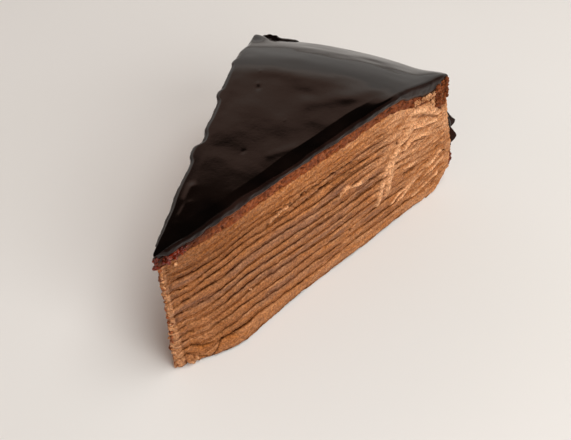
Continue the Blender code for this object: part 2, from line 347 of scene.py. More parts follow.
# how far the lowest layers are squeezed out: distance from the point, amount
FOOT_PLACES = (4.4, 7.0, 10.0, 14.0, 18.0, 24.0, 30.0, 40.0, 60.0)
FOOT_OUT = (1.1, 2.0, 2.5, 2.7, 2.2, 1.6, 1.2, 0.6, 0.0)


def foot_spread(a, z):
    """The lowest layers are squeezed out near the point, and the point bulges above them."""
    point = 1.2 * np.exp(-((z - 14.0) / 8.0) ** 2) * ease((7.5 - a) / 3.0)
    return np.interp(a, FOOT_PLACES, FOOT_OUT) * np.exp(-(z / 9.0) ** 2) + point


def clearness(c):
    """1 near the point, where the cut is clean, falling to 0 further along."""
    return ease((75.0 - np.abs(c)) / 25.0)


def relief(c, z):
    """Shared relief of the cut faces, with its masks."""
    ridge, ridge_mask, cut, cut_shade_mask = marks(c, z)
    a = np.abs(c)
    near_point = ease((3.2 - a) / 0.6)
    clean = clearness(c)
    zone = smear_zone(c, z)
    broad = 0.30 * noise(c / 17.0, z / 11.0, 1)
    bands = (0.20 - 0.11 * clean) * layered_noise(c / 14.0, (z + 0.10 * a) / 1.5, 2) * (1.0 - 0.5 * zone)
    drag = 0.30 * strokes(c, z) * (0.15 + 0.85 * zone)
    fray = (0.16 - 0.08 * clean) * threads(c, z)
    lumps = (0.12 + 0.16 * zone) * layered_noise(c / 2.1, z / 1.4, 5)
    grain = (0.07 + 0.04 * clean) * noise(c / 0.75, z / 0.6, 8)
    rough_point = near_point * (0.45 * layered_noise(c / 1.0, z / 1.1, 31) + 0.05)
    groove = np.exp(-((a - 3.7) / 0.45) ** 2) * np.clip(0.6 + 0.9 * noise(z / 1.9, 0 * c, 33), 0.0, 1.0) * (z < 52.0)
    under = -0.35 * np.clip(1.0 - z / 1.6, 0.0, 1.0) ** 2
    tear = 0.75 * torn_pits(c, z)
    high = broad + bands + drag + fray + lumps + grain + rough_point + foot_spread(a, z) + under + ridge
    high = high - cut - tear - 0.60 * groove
    # painted shade: the torn pits and the groove beside the strip at the point are darkened through the cut shade mask
    cut_shade_mask = np.maximum(np.maximum(0.85 * cut_shade_mask, 0.60 * torn_pits(c, z)), 0.60 * groove)
    return high, ridge_mask, cut_shade_mask, near_point


# ---------------------------------------------------------------- pieces
def add_piece(name, points, faces, material, nodes, tone=None, smooth=True):
    """A closed mesh in the part's frame that rides on the body and takes the place of CAD nodes, which are hidden."""
    points = np.asarray(points, float)
    placed = (points + np.array([POINT_X, POINT_Y, 0.0])) * MM
    mesh = bpy.data.meshes.new(name)
    mesh.from_pydata(placed.tolist(), [], faces)
    mesh.update()
    if tone is not None:
        layer = mesh.color_attributes.new("tone", "FLOAT_COLOR", "POINT")
        rgba = np.zeros((len(points), 4))
        rgba[:, :tone.shape[1]] = tone
        layer.data.foreach_set("color", rgba.ravel())
    if smooth:
        mesh.shade_smooth()
        mesh.set_sharp_from_angle(angle=math.radians(55))
    mesh.materials.append(material)
    piece = bpy.data.objects.new(name, mesh)
    bpy.context.scene.collection.objects.link(piece)
    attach(piece, "root")
    if nodes:
        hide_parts(*nodes)
    return piece


def zip_rows(faces, a, b, flip):
    """Triangles between two rows of point numbers that may differ in number."""
    i = 0
    j = 0
    while i < len(a) - 1 or j < len(b) - 1:
        step_a = (i + 1) / (len(a) - 1) if i < len(a) - 1 else 9.0
        step_b = (j + 1) / (len(b) - 1) if j < len(b) - 1 else 9.0
        if step_a <= step_b:
            face = (a[i], a[i + 1], b[j])
            i += 1
        else:
            face = (a[i], b[j + 1], b[j])
            j += 1
        faces.append(face[::-1] if flip else face)


FACE_STEPS = 360            # divisions of each cut face, from point to wall
ARC_STEPS = 24              # divisions of the hidden outer edge of a layer
NOSE_STEPS = 10             # divisions round the point


def loop_places():
    """Places (u, v) round a layer: right face, wall, left face, point."""
    v = np.linspace(0.0, 1.0, FACE_STEPS + 1)
    u = np.linspace(0.0, 1.0, ARC_STEPS + 1)[1:-1]
    n = np.linspace(1.0, 0.0, NOSE_STEPS + 1)[1:-1]
    us = np.concatenate([0 * v, u, 0 * v + 1, n])
    vs = np.concatenate([v, 0 * u + 1, v[::-1], 0 * n])
    return us, vs


LOOP_U, LOOP_V = loop_places()


def face_distance(x, y):
    """Distance from the point, positive on the right face and negative on the left."""
    return np.hypot(x, y) * np.where(x >= 0, 1.0, -1.0)


def outward(x, y):
    """Unit normals of a closed plan outline that runs anticlockwise."""
    dx = np.roll(x, -1, axis=-1) - np.roll(x, 1, axis=-1)
    dy = np.roll(y, -1, axis=-1) - np.roll(y, 1, axis=-1)
    size = np.maximum(np.hypot(dx, dy), 1e-9)
    return dy / size, -dx / size


def layer_piece(name, node, s_low, s_high, profile, material, edges, colour):
    """One layer: its wall follows the shared relief plus the profile of its own edge."""
    t = profile["t"][:, None]
    radius_inset = COAT_THICK + GAP
    us = LOOP_U[None, :]
    vs = LOOP_V[None, :]
    rough_s = s_low + (s_high - s_low) * t
    x, y = plan_point(us, vs, rough_s, wall_radius(rough_s) - radius_inset)
    c = face_distance(x, y)
    # the edges of the layer wander, alike for both layers that meet there
    low_edge = edge_wander(c, edges[1], s_low)
    high_edge = edge_wander(c, edges[0], s_high)
    s = rough_s + (low_edge + (high_edge - low_edge) * t) / HEIGHT
    x, y = plan_point(us, vs, s, wall_radius(s) - radius_inset)
    z = height_at(x, y, s)
    c = face_distance(x, y)
    high, ridge_mask, cut_shade_mask, near_point = relief(c, z)
    smear = np.clip(smear_zone(c, z) + ridge_mask, 0.0, 1.0)
    push = high + profile["push"](t, c, z, smear, near_point)
    on_face = ((us == 0) | (us == 1) | (vs == 0)).astype(float)
    push = push * on_face * ease((1.0 - vs) * FACE_STEPS / 2.0 + 0.5)
    nx, ny = outward(x, y)
    x = x + nx * push
    y = y + ny * push
    tone = colour(t, c, z, smear, ridge_mask, cut_shade_mask, near_point, on_face)
    rows, columns = x.shape
    points = np.stack([x, y, z], -1).reshape(-1, 3)
    tones = np.stack([np.broadcast_to(k, x.shape) for k in tone], -1).reshape(-1, 4)
    faces = []
    index = np.arange(rows * columns).reshape(rows, columns)
    for i in range(rows - 1):
        a = index[i]
        b = index[i + 1]
        quads = np.stack([a, np.roll(a, -1), np.roll(b, -1), b], -1)
        faces.extend(map(tuple, quads.tolist()))
    extra = []
    for row, s_cap, flip in ((0, s_low, False), (rows - 1, s_high, True)):
        first = len(points) + len(extra)
        inner_u = np.array([1.0 / 3.0, 2.0 / 3.0])
        inner_v = np.linspace(0.0, 1.0, FACE_STEPS + 1)[1:-1]
        iu, iv = np.meshgrid(inner_u, inner_v)
        ix, iy = plan_point(iu, iv, s_cap, wall_radius(s_cap) - radius_inset)
        iz = height_at(ix, iy, s_cap)
        extra.extend(np.stack([ix, iy, iz], -1).reshape(-1, 3).tolist())
        ring = index[row]
        right = ring[: FACE_STEPS + 1].tolist()
        arc = ring[FACE_STEPS + 1: FACE_STEPS + ARC_STEPS].tolist()
        left = ring[FACE_STEPS + ARC_STEPS: 2 * FACE_STEPS + ARC_STEPS + 1][::-1].tolist()
        nose = ring[2 * FACE_STEPS + ARC_STEPS + 1:][::-1].tolist()
        ladder = [[right[0]] + nose + [left[0]]]
        for k in range(1, FACE_STEPS):
            mid = first + 2 * (k - 1)
            ladder.append([right[k], mid, mid + 1, left[k]])
        ladder.append([right[-1]] + arc + [left[-1]])
        for a, b in zip(ladder, ladder[1:]):
            zip_rows(faces, a, b, not flip)
    points = np.concatenate([points, np.array(extra)])
    tones = np.concatenate([tones, np.tile([0.3, 0.3, 0.5, 0.0], (len(extra), 1))])
    return add_piece(name, points, faces, material, [node], tones)


# how far the lines of the layers run above their even places: distance from the point,
# even height, and one row of amounts for each distance
LINE_PLACES = (4.4, 7.0, 10.0, 14.0, 18.0, 24.0, 30.0, 60.0, 95.0)
LINE_HEIGHTS = (0.0, 5.5, 9.0, 13.5, 17.3, 20.6, 23.8, 27.5, 31.9, 35.1, 38.4, 41.7, 44.5, 47.8, 52.4)
LINE_RISE = (
    (0.0, 0.2, 0.0, -0.7, -0.7, -0.7, -0.7, 0.2, -0.3, 0.6, 1.0, 2.5, 2.0, 1.2, 0.0),
    (0.0, -1.7, -0.5, -2.3, -2.5, -1.4, -1.3, -0.8, 0.6, 0.1, 0.0, 1.6, 1.5, 1.0, 0.0),
    (0.0, -2.0, -1.8, -2.6, -3.4, -1.8, -2.1, -0.5, 0.4, 0.4, -0.5, 0.9, 1.0, 0.6, 0.0),
    (0.0, -0.3, -0.7, -1.4, -2.1, -1.0, -0.8, -0.5, 1.1, 1.4, 1.0, 0.6, 0.8, 0.6, 0.0),
    (0.0, 1.5, 1.1, 0.4, 0.0, 0.4, 0.9, 0.4, 1.7, 2.7, 2.2, 0.9, 1.2, 0.8, 0.0),
    (0.0, 2.0, 2.5, 2.5, 1.9, 2.3, 2.7, 1.8, 2.9, 3.2, 2.8, 2.2, 1.8, 1.0, 0.0),
    (0.0, 2.0, 3.0, 2.3, 2.5, 2.6, 3.5, 3.7, 3.5, 3.5, 3.2, 2.9, 2.1, 1.2, 0.0),
    (0.0, 1.2, 1.9, 1.6, 2.0, 2.4, 3.0, 2.8, 2.4, 3.0, 3.0, 2.9, 2.1, 1.2, 0.0),
    (0.0, 1.0, 1.5, 1.3, 1.6, 1.9, 2.4, 2.2, 1.9, 2.4, 2.4, 2.3, 1.7, 1.0, 0.0),
)


def line_rise(a, s):
    """How far the edge at height share s runs above its even place."""
    across = [np.interp(s * HEIGHT, LINE_HEIGHTS, row) for row in LINE_RISE]
    return np.interp(a, LINE_PLACES, across)


def edge_wander(c, edge, s):
    """How far the edge between two layers wanders; edge 2k is the underside of crepe k
    and 2k - 1 its top, and both follow the crepe's own line."""
    if s < 0.001:
        return 0.0 * c
    crepe = (edge + 1) // 2
    a = np.abs(c)
    strength = 1.0 + 0.5 * crepe / 14.0 * ease((70.0 - a) / 30.0)
    long = 0.34 * noise(c / 10.0, 0 * c + crepe * 1.7, 70)
    fine = 0.26 * layered_noise(c / 3.2, 0 * c + crepe * 3.1, 40) + 0.10 * noise(c / 1.1, 0 * c + crepe * 4.3, 44)
    kink = -0.24 * ease((noise(c / 3.4, 0 * c + crepe * 5.3, 140) - 0.35) / 0.3)
    own = 0.10 * layered_noise(c / 3.0, 0 * c + edge * 2.9, 47)
    return np.clip(strength * (long + fine + kink), -0.62, 0.62) + own + line_rise(a, s)


# ---------------------------------------------------------------- materials
def new_material(name):
    material = bpy.data.materials.new(name)
    material.use_nodes = True
    tree = material.node_tree
    shader = tree.nodes["Principled BSDF"]
    return material, tree, shader


def add_node(tree, kind, **settings):
    node = tree.nodes.new(kind)
    for key, value in settings.items():
        if key.startswith("in_"):
            node.inputs[key[3:].replace("_", " ")].default_value = value
        else:
            setattr(node, key, value)
    return node


def mix_colour(tree, factor, a, b, mode="MIX"):
    """Colour mix node; factor, a and b are sockets or plain values."""
    node = tree.nodes.new("ShaderNodeMix")
    node.data_type = "RGBA"
    node.blend_type = mode
    for socket, value in ((node.inputs[0], factor), (node.inputs[6], a), (node.inputs[7], b)):
        if isinstance(value, bpy.types.NodeSocket):
            tree.links.new(value, socket)
        elif isinstance(value, tuple):
            socket.default_value = (*value, 1.0)
        else:
            socket.default_value = value
    return node.outputs[2]


def ramp(tree, source, low, high):
    """Map Range node from low..high to 0..1, smooth."""
    node = tree.nodes.new("ShaderNodeMapRange")
    node.interpolation_type = "SMOOTHSTEP"
    node.inputs["From Min"].default_value = low
    node.inputs["From Max"].default_value = high
    tree.links.new(source, node.inputs["Value"])
    return node.outputs["Result"]


def noise_node(tree, scale, detail=3.0, stretch=(1.0, 1.0, 1.0)):
    """Noise over the object's own coordinates; scale in features per metre."""
    place = tree.nodes.new("ShaderNodeTexCoord")
    mapping = tree.nodes.new("ShaderNodeMapping")
    mapping.inputs["Scale"].default_value = stretch
    texture = tree.nodes.new("ShaderNodeTexNoise")
    texture.inputs["Scale"].default_value = scale
    texture.inputs["Detail"].default_value = detail
    tree.links.new(place.outputs["Object"], mapping.inputs["Vector"])
    tree.links.new(mapping.outputs["Vector"], texture.inputs["Vector"])
    return texture.outputs["Fac"]


def crumbly(name, dark, base, light, warm, cool, roughness, grain, bump):
    """Cream, crepe and sponge: colours follow the tone attribute and fine noise."""
    material, tree, shader = new_material(name)
    tone = tree.nodes.new("ShaderNodeAttribute")
    tone.attribute_name = "tone"
    split = tree.nodes.new("ShaderNodeSeparateColor")
    tree.links.new(tone.outputs["Color"], split.inputs["Color"])
    patch = noise_node(tree, 160.0, 4.0, (1.0, 1.0, 2.5))
    fine = noise_node(tree, grain, 5.0)
    colour = mix_colour(tree, ramp(tree, patch, 0.35, 0.70), base, warm)
    colour = mix_colour(tree, split.outputs["Blue"], colour, warm)
    colour = mix_colour(tree, tone.outputs["Alpha"], colour, cool)
    # green of the tone lightens and red darkens: besides real tone they carry the painted highlights and painted shade
    # of the faces
    colour = mix_colour(tree, split.outputs["Green"], colour, light)
    colour = mix_colour(tree, split.outputs["Red"], colour, dark)
    speck = mix_colour(tree, ramp(tree, fine, 0.34, 0.68), (0.62, 0.57, 0.52), (1.28, 1.28, 1.28))
    colour = mix_colour(tree, 1.0, colour, speck, "MULTIPLY")
    tree.links.new(colour, shader.inputs["Base Color"])
    rough = tree.nodes.new("ShaderNodeMapRange")
    rough.inputs["To Min"].default_value = roughness - 0.10
    rough.inputs["To Max"].default_value = roughness + 0.12
    tree.links.new(fine, rough.inputs["Value"])
    tree.links.new(rough.outputs["Result"], shader.inputs["Roughness"])
    relief_node = tree.nodes.new("ShaderNodeBump")
    relief_node.inputs["Strength"].default_value = bump
    relief_node.inputs["Distance"].default_value = 0.0003
    tree.links.new(fine, relief_node.inputs["Height"])
    tree.links.new(relief_node.outputs["Normal"], shader.inputs["Normal"])
    shader.inputs["Subsurface Weight"].default_value = 0.08
    shader.inputs["Subsurface Radius"].default_value = (0.0012, 0.0006, 0.0003)
    shader.inputs["Subsurface Scale"].default_value = 1.0
    shader.inputs["Specular IOR Level"].default_value = 0.22
    return material


def chocolate(name, deep, pale, smooth, dull, specular):
    """Set chocolate glaze: near black, faintly uneven in gloss and colour."""
    material, tree, shader = new_material(name)
    cloud = noise_node(tree, 70.0, 3.0)
    fine = noise_node(tree, 900.0, 3.0)
    colour = mix_colour(tree, ramp(tree, cloud, 0.35, 0.70), deep, pale)
    tree.links.new(colour, shader.inputs["Base Color"])
    rough = tree.nodes.new("ShaderNodeMapRange")
    rough.inputs["To Min"].default_value = smooth
    rough.inputs["To Max"].default_value = dull
    tree.links.new(cloud, rough.inputs["Value"])
    tree.links.new(rough.outputs["Result"], shader.inputs["Roughness"])
    relief_node = tree.nodes.new("ShaderNodeBump")
    relief_node.inputs["Strength"].default_value = 0.05
    relief_node.inputs["Distance"].default_value = 0.0002
    tree.links.new(fine, relief_node.inputs["Height"])
    tree.links.new(relief_node.outputs["Normal"], shader.inputs["Normal"])
    shader.inputs["Specular IOR Level"].default_value = specular
    return material


CREAM = crumbly("cream_soft", (0.060, 0.014, 0.002), (0.385, 0.157, 0.055), (0.780, 0.420, 0.220),
                (0.415, 0.148, 0.037), (0.262, 0.114, 0.058), 0.50, 1500.0, 0.55)
CREPE = crumbly("crepe_edge", (0.046, 0.009, 0.001), (0.335, 0.134, 0.050), (0.700, 0.360, 0.180),
                (0.350, 0.120, 0.034), (0.225, 0.092, 0.046), 0.66, 1800.0, 0.55)
CREPE.node_tree.nodes["Principled BSDF"].inputs["Specular IOR Level"].default_value = 0.10
SPONGE = crumbly("cocoa_sponge", (0.032, 0.006, 0.002), (0.190, 0.048, 0.015), (0.420, 0.145, 0.055),
                 (0.250, 0.064, 0.018), (0.150, 0.040, 0.020), 0.60, 1200.0, 0.9)
WET = crumbly("wet_crumb", (0.020, 0.002, 0.001), (0.140, 0.013, 0.004), (0.400, 0.090, 0.035),
              (0.190, 0.016, 0.004), (0.090, 0.010, 0.006), 0.14, 1200.0, 0.4)
WET.node_tree.nodes["Principled BSDF"].inputs["Specular IOR Level"].default_value = 0.6
GLAZE = chocolate("glaze_gloss", (0.0016, 0.0010, 0.0008), (0.0042, 0.0022, 0.0016), 0.06, 0.18, 0.42)
GLAZE_CUT = chocolate("glaze_cut", (0.0060, 0.0025, 0.0018), (0.0160, 0.0070, 0.0050), 0.22, 0.38, 0.19)
GLAZE_THIN = chocolate("glaze_thin", (0.0120, 0.0040, 0.0025), (0.0300, 0.0090, 0.0050), 0.50, 0.65, 0.05)


# ---------------------------------------------------------------- the layers
def second_line(t, c, z):
    """Faint line within a band of cream, where the stroke of one spreading met the next."""
    middle = 0.45 + 0.22 * noise(c / 11.0, z / 2.0, 57) + 0.08 * noise(c / 2.6, z / 2.0, 58)
    seen = ease((noise(c / 9.0, z / 2.6, 59) + 0.25) / 0.35) * (1.0 - 0.85 * clearness(c))
    return np.exp(-((t - middle) / 0.10) ** 4) * seen, ease((middle - t) / 0.12) * seen


def cream_push(t, c, z, smear, near_point):
    """A band of cream stands proud in its middle and rounds off at its edges."""
    edge = np.abs(2.0 * t - 1.0) ** 5
    line, below = second_line(t, c, z)
    clear = (1.0 - 0.85 * smear) * (1.0 - 0.8 * near_point)
    return 0.10 - (0.20 * edge + 0.38 * line + 0.10 * below) * clear


def lightness(c, z, smear, ridge_mask, near_point):
    """Paler towards the wall and where cream was dragged, deeper near the sponge; the strip at the point is paler,
    partly loose pale cream and partly painted light, and the crests of the threads carry a painted highlight.
    """
    a = np.abs(c)
    far = ease((a - 74.0) / 40.0)
    high = ease((z - 18.0) / 16.0)
    field = 0.03 + 0.03 * far + 0.32 * far * high + 0.10 * ease((z - 8.0) / -8.0)
    clean = clearness(c)
    shade = (0.20 - 0.10 * clean) * layered_noise(c / 6.0, (z + 0.1 * a) / 0.9, 51)
    shade = shade + 0.30 * strokes(c, z) * (0.2 + smear) + 0.12 * layered_noise(c / 1.1, z / 0.8, 53)
    thread = (0.22 - 0.14 * clean) * np.maximum(threads(c, z), 0.0) ** 2
    # painted light on the strip at the point (near_point) and painted highlight on the crests of the threads (thread)
    return field + shade + thread + 0.08 * smear + 0.75 * ridge_mask + 0.40 * near_point


def warmth(c, z, near_point):
    """Yellower in the upper bands near the point, more orange at the foot."""
    a = np.abs(c)
    upper = ease((z - 36.0) / 8.0) * ease((85.0 - a) / 30.0)
    foot = ease((9.0 - z) / 5.0)
    return 0.30 + 0.45 * upper + 0.22 * foot + 0.40 * noise(c / 9.0, z / 2.2, 52) + 0.2 * near_point


def coolness(c, z, smear):
    """Greyish brown patches of cocoa cream, mostly in the middle layers."""
    a = np.abs(c)
    middle = ease((z - 6.0) / 6.0) * ease((50.0 - z) / 8.0)
    patch = ease((noise(c / 14.0, (z + 0.05 * a) / 2.4, 65) - 0.05) / 0.5)
    return (0.10 + 0.65 * patch) * middle * (1.0 - 0.7 * smear)


def shadowing(c, z):
    """Painted shade: a deeper brown in the upper bands near the point and in the troughs of the threads."""
    a = np.abs(c)
    deep = 0.26 * ease((z - 38.0) / 6.0) * ease((70.0 - a) / 45.0) + 0.12 * ease((50.0 - a) / 30.0)
    return deep + (0.30 - 0.20 * clearness(c)) * np.maximum(-threads(c, z) - 0.15, 0.0)


def fit_tone(dark, light, warm, cool, on_face):
    return (np.clip(dark, 0.0, 1.0) * on_face, np.clip(light, 0.0, 1.0), np.clip(warm, 0.0, 1.0),
            np.clip(cool, 0.0, 1.0) * on_face)


def cream_tone(t, c, z, smear, ridge_mask, cut_shade_mask, near_point, on_face):
    # painted shade: darker where the band rounds off at its edges, next to the crepes
    edge = np.abs(2.0 * t - 1.0) ** 6
    line, below = second_line(t, c, z)
    clear = (1.0 - 0.85 * smear) * (1.0 - 0.8 * near_point)
    dark = (0.12 * edge + 0.55 * line) * clear + 0.9 * cut_shade_mask + shadowing(c, z)
    # painted highlight: a pale line just under the top edge of each band of cream
    lip = np.exp(-((t - 0.86) / 0.10) ** 2) * np.clip(0.6 + noise(c / 2.7, z / 2.0, 55), 0.0, 1.2)
    light = lightness(c, z, smear, ridge_mask, near_point) * (1.0 - cut_shade_mask) + 0.26 * lip * (1.0 - smear)
    cool = coolness(c, z, smear) + 0.45 * below * clear
    return fit_tone(dark, light, warmth(c, z, near_point), cool, on_face)


def crepe_tools(number):
    """Edge shape and colour of one crepe: thin furrows painted dark along a browner band, partly the crepe's own dark
    edge and partly painted shadow in the furrow.
    """
    def furrows(t, c, smear, near_point):
        a = np.abs(c)
        width = 0.22 + 0.08 * noise(c / 4.0, 0 * c + number * 1.3, 97)
        main = np.exp(-((t - 0.30) / width) ** 4)
        worn = np.clip(1.0 + 0.45 * layered_noise(c / 5.0, 0 * c + number, 90), 0.35, 1.30)
        second = np.exp(-((t - 0.86) / 0.13) ** 4) * (1.0 - 0.8 * clearness(c))
        also = np.clip(1.9 * noise(c / 8.0, 0 * c + number * 2.3, 95) - 0.25, 0.0, 0.95)
        # the two uppermost lines hardly show, least of all near the point
        faint = 1.0 - {1: 0.94, 2: 0.84, 3: 0.45}.get(number, 0.0) * (0.8 + 0.2 * ease((48.0 - a) / 20.0))
        clear = (1.0 - 0.92 * smear) * (1.0 - 0.85 * near_point) * faint
        return (main * worn + second * also) * clear

    def push(t, c, z, smear, near_point):
        return -1.15 * furrows(t, c, smear, near_point)

    def tone(t, c, z, smear, ridge_mask, cut_shade_mask, near_point, on_face):
        # painted shadow in the furrows on top of the crepe's own darker colour, and painted shade in pits and troughs
        dark = 1.70 * furrows(t, c, smear, near_point) + 0.9 * cut_shade_mask + shadowing(c, z)
        light = lightness(c, z, smear, ridge_mask, near_point) * (1.0 - cut_shade_mask)
        cool = 0.15 * (1.0 - smear) + coolness(c, z, smear)
        return fit_tone(dark, light, 0.6 * warmth(c, z, near_point), cool, on_face)
    return push, tone


def sponge_pores(c, z):
    """Little holes of the crumb, 0 to 1."""
    return ease((layered_noise(c / 1.0, z / 0.8, 85) - 0.18) / 0.30)


def sponge_push(t, c, z, smear, near_point):
    """Open crumb: rough lumps and pores."""
    return 0.34 * layered_noise(c / 1.2, z / 1.0, 81) - 0.55 * sponge_pores(c, z) - 0.05


def sponge_tone(t, c, z, smear, ridge_mask, cut_shade_mask, near_point, on_face):
    a = np.abs(c)
    # darker in a band at the top of the sponge, under the glaze, and towards the point
    under_glaze_start = 0.78 + 0.07 * noise(c / 2.2, 0 * c, 89)
    under_glaze_dark = 0.90 * ease((t - under_glaze_start) / 0.14) + 0.55 * ease((40.0 - a) / 25.0) * ease((t - 0.35) / 0.40)
    tip = 0.55 * ease((26.0 - a) / 14.0)
    # painted shade in the pores of the crumb, and in pits through the cut shade mask
    dark = 0.62 * sponge_pores(c, z) + under_glaze_dark + tip + cut_shade_mask
    light = 0.02 + 0.60 * layered_noise(c / 1.3, z / 1.0, 87) + 0.35 * ridge_mask
    dark = dark + 0.18 * ease((a - 60.0) / 25.0)
    warm = 0.5 + 0.5 * noise(c / 5.0, z / 2.0, 88)
    cool = 0.5 * ease((noise(c / 3.0, z / 1.5, 92) - 0.1) / 0.5)
    return fit_tone(dark, light, warm, cool, on_face)


def build_layers():
    half_gap = 0.5 * GAP / HEIGHT
    crepe_share = CREPE_THICK / HEIGHT
    middles = [SPONGE_UNDER * (1.0 - place) for place in CREPE_PLACES] + [crepe_share / 2]
    ceiling = SPONGE_UNDER
    for number, middle in enumerate(middles, start=1):
        top = middle + crepe_share / 2
        bottom = max(middle - crepe_share / 2, 0.0)
        high_s = ceiling - half_gap
        low_s = top + half_gap
        count = max(6, int(round((high_s - low_s) * HEIGHT / 0.34)))
        cream_profile = {"t": np.linspace(0.0, 1.0, count + 1), "push": cream_push}
        layer_piece(f"cream_band_{number:02d}", f"cream_{number:02d}", low_s, high_s, cream_profile,
                    CREAM, (2 * number - 2, 2 * number - 1), cream_tone)
        push, tone = crepe_tools(number)
        crepe_profile = {"t": np.array([0.0, 0.08, 0.16, 0.24, 0.32, 0.40, 0.52, 0.66, 0.76, 0.84, 0.92, 1.0]),
                         "push": push}
        low_end = bottom - half_gap if bottom > 0 else 0.0
        layer_piece(f"crepe_edge_{number:02d}", f"crepe_{number:02d}", low_end, low_s, crepe_profile,
                    CREPE, (2 * number - 1, 2 * number), tone)
        ceiling = bottom
    sponge_profile = {"t": np.linspace(0.0, 1.0, 15), "push": sponge_push}
    layer_piece("sponge_crumb", "sponge", SPONGE_UNDER - half_gap, SPONGE_TOP + half_gap,
                sponge_profile, SPONGE, (-2, 0), sponge_tone)


build_layers()


# ---------------------------------------------------------------- cream coat on the wall
COAT_ROWS = 140
COAT_COLUMNS = 190
END_STEPS = 9


def build_coat():
    """The coat on the outer wall: knife strokes outside, the shared relief at its ends."""
    s = np.linspace(0.0, SPONGE_TOP, COAT_ROWS + 1)[:, None]
    outer_u = np.linspace(0.0, 1.0, COAT_COLUMNS + 1)
    depth = np.linspace(1.0, 0.0, END_STEPS + 1)[1:]
    inner_u = np.linspace(1.0, 0.0, 25)
    us = np.concatenate([0 * depth, outer_u[1:], 0 * depth + 1, inner_u])[None, :]
    ds = np.concatenate([depth, 0 * outer_u[1:], 1.0 - depth + depth[-1], 0 * inner_u + 1])[None, :]
    ds = np.clip(ds, 0.0, 1.0)
    # the last place of the left end and the first of the inner side would coincide
    keep = np.ones(us.shape[1], bool)
    keep[len(depth) + COAT_COLUMNS + len(depth) - 1] = False
    us = us[:, keep]
    ds = ds[:, keep]
    radius = wall_radius(s) - ds * (COAT_THICK + GAP)
    x, y = wall_point(us, s, radius)
    z = height_at(x, y, s)
    c = face_distance(x, y)
    high, ridge_mask, cut_shade_mask, near_point = relief(c, z)
    at_end = ((us == 0) | (us == 1)).astype(float) * (ds < 1.0)
    stroke = 0.32 * layered_noise(us * 7.0, z / 5.0, 111) + 0.16 * layered_noise(us * 26.0, z / 1.7, 113)
    stroke = stroke + 0.05 * noise(us * 120.0, z / 0.6, 115)
    outside = (ds == 0.0).astype(float)
    push_out = stroke * outside
    way_x = (x - CENTRE_X) / np.hypot(x - CENTRE_X, y - CENTRE_Y)
    way_y = (y - CENTRE_Y) / np.hypot(x - CENTRE_X, y - CENTRE_Y)
    side_x = np.where(us < 0.5, RIGHT_Y, -RIGHT_Y)
    x = x + way_x * push_out + side_x * (high - 0.05) * at_end
    y = y + way_y * push_out - RIGHT_X * (high - 0.05) * at_end
    smear = np.clip(smear_zone(c, z) + ridge_mask, 0.0, 1.0)
    corner = ease((0.07 - np.minimum(us, 1.0 - us)) / 0.04)
    crumb = ease((layered_noise(us * 90.0 + ds * 2.0, z / 1.2, 117) + 0.25) / 0.4)
    red = (ease((z - 37.5) / 3.0) * corner + 0.35 * ease((z - 40.0) / 6.0)) * crumb
    # painted shade at the ends of the coat, in pits and thread troughs, besides the real red crumb
    dark = np.clip((cut_shade_mask + shadowing(c, z)) * at_end + 0.75 * red, 0.0, 1.0)
    light = 0.30 + 0.35 * layered_noise(us * 20.0, z / 2.0, 119)
    light = light + (lightness(c, z, smear, ridge_mask, near_point) - light) * at_end
    light = np.clip(light - 0.3 * red, 0.0, 1.0)
    warm = 0.5 + 0.4 * noise(us * 8.0, z / 5.0, 121)
    warm = np.clip(warm + (warmth(c, z, near_point) - warm) * at_end + 0.5 * red, 0.0, 1.0)
    cool = 0.3 * ease(noise(us * 12.0, z / 3.0, 123))
    cool = np.clip(cool + (coolness(c, z, smear) - cool) * at_end, 0.0, 1.0)
    tones = np.stack([np.broadcast_to(k, x.shape) for k in (dark, light, warm, cool)], -1).reshape(-1, 4)
    rows, columns = x.shape
    index = np.arange(rows * columns).reshape(rows, columns)
    faces = []
    for i in range(rows - 1):
        a = index[i]
        b = index[i + 1]
        quads = np.stack([a, np.roll(a, -1), np.roll(b, -1), b], -1)
        faces.extend(map(tuple, quads.tolist()))
    split = int(np.argmax((ds[0] == 1.0)))
    for row, flip in ((0, True), (rows - 1, False)):
        ring = index[row].tolist()
        outer = ring[:split]
        inner = ring[split:][::-1]
        zip_rows(faces, inner, outer, flip)
    points = np.stack([x, y, z], -1).reshape(-1, 3)
    add_piece("side_coat", points, faces, CREAM, ["side_cream"], tones)


build_coat()


# ---------------------------------------------------------------- the glaze
def over_drips(u, base, value):
    """Value of the drip nearest to each place u, or base where there is none."""
    found = base + 0.0 * u
    best = np.ones_like(u)
    for drip in DRIPS:
        t = np.abs(u - drip[0]) / drip[1]
        near = t < best
        best = np.where(near, t, best)
        found = np.where(near, value(drip, np.minimum(t, 1.0)), found)
    return found


def skirt_end(u):
    hem = SKIRT_END - 0.02 * np.sin(40.0 * u)
    lobe = over_drips(u, 1.0, lambda drip, t: drip[2] + (SKIRT_END - drip[2]) * (1.0 - np.sqrt(1.0 - t ** 2.2)))
    return np.minimum(hem, lobe)


def skirt_place(u, s):
    lean = over_drips(u, 0.0, lambda drip, t: drip[4])
    low = over_drips(u, 0.0, lambda drip, t: drip[2])
    return u + lean * ease((low + LEAN_ABOVE - s) / LEAN_SPAN)


